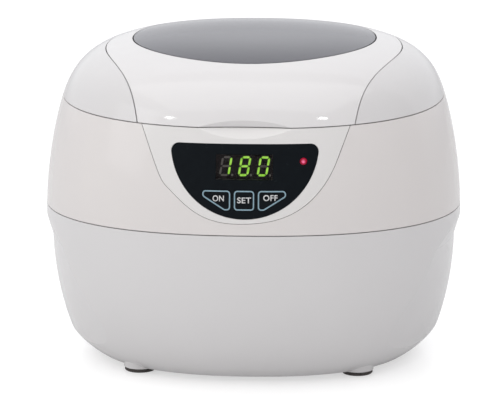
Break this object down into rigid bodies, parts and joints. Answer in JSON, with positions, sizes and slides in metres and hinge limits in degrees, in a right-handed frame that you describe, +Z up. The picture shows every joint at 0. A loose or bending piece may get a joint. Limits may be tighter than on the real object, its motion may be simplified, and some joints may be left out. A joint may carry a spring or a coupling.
{
  "type": "ultrasonic cleaner",
  "caption": "Tabletop ultrasonic cleaner for contact lenses: round white housing, hinged lid with smoked window, digital display and press keys.",
  "frame": {"origin": "middle of the footprint, on the surface that the feet stand on", "axes": "+X to the user's right, +Y to the back, where the lid's hinge is, +Z up"},
  "size_m": [0.217, 0.1952, 0.1679],
  "materials": {
    "white_gloss": "gloss",
    "white_matte": "matte",
    "black_film": "satin",
    "clear_window": "gloss",
    "smoked_window": "gloss",
    "black_plastic": "matte",
    "lit_green": "gloss",
    "unlit_grey": "matte",
    "red_lamp": "gloss",
    "circuit_board": "satin",
    "stainless": "brushed",
    "seal_rubber": "matte",
    "aluminium": "satin",
    "brass_tabs": "satin",
    "ceramic": "matte",
    "steel": "satin",
    "ferrite": "matte",
    "copper_winding": "satin",
    "fuse_glass": "gloss",
    "transistor_black": "matte",
    "lead_cover": "satin"
  },
  "bodies": {
    "housing": {"base_shell": "white_gloss", "upper_shell": "white_gloss", "front_bezel": "white_gloss", "control_film": "black_film", "display_window": "clear_window", "tact_switches": "black_plastic", "control_board": "circuit_board", "control_board_screws": "steel", "led_display": "black_plastic", "lit_segments": "lit_green", "unlit_segments": "unlit_grey", "indicator_lamp": "red_lamp", "tank": "stainless", "tank_gasket": "seal_rubber", "basket": "white_matte", "transducer_horn": "aluminium", "transducer_electrodes": "brass_tabs", "piezo_rings": "ceramic", "back_mass": "steel", "transducer_bolt": "steel", "power_board": "circuit_board", "power_board_screws": "steel", "transformer_core": "ferrite", "transformer_coil": "copper_winding", "choke": "copper_winding", "filter_capacitor": "aluminium", "mains_fuse": "fuse_glass", "heat_sink": "aluminium", "power_transistors": "transistor_black", "mains_inlet": "white_matte", "inlet_pins": "brass_tabs", "front_left_foot": "seal_rubber", "front_right_foot": "seal_rubber", "back_right_foot": "seal_rubber", "back_left_foot": "seal_rubber", "housing_screws": "steel", "hinge_pin": "steel", "mains_leads": "lead_cover"},
    "lid": {"lid_saddle": "white_gloss", "left_lid_shoulder": "white_gloss", "right_lid_shoulder": "white_gloss", "lid_liner": "white_matte", "lid_window": "smoked_window", "window_gasket": "seal_rubber", "lid_screws": "steel"},
    "on_button": {"on_key": "black_film", "on_plunger": "black_plastic"},
    "set_button": {"set_key": "black_film", "set_plunger": "black_plastic"},
    "off_button": {"off_key": "black_film", "off_plunger": "black_plastic"}
  },
  "joints": [
    {"name": "lid_hinge", "type": "hinge", "parent": "housing", "child": "lid", "pos_m": [0, 0.0926, 0.14217], "axis": [-1, 0, 0], "range_deg": [0, 95]},
    {"name": "on_press", "type": "slide", "parent": "housing", "child": "on_button", "axis": [0, 1, 0], "range_m": [0, 0.0005], "stiffness_N_per_m": 1500},
    {"name": "set_press", "type": "slide", "parent": "housing", "child": "set_button", "axis": [0, 1, 0], "range_m": [0, 0.0005], "stiffness_N_per_m": 1500},
    {"name": "off_press", "type": "slide", "parent": "housing", "child": "off_button", "axis": [0, 1, 0], "range_m": [0, 0.0005], "stiffness_N_per_m": 1500}
  ]
}
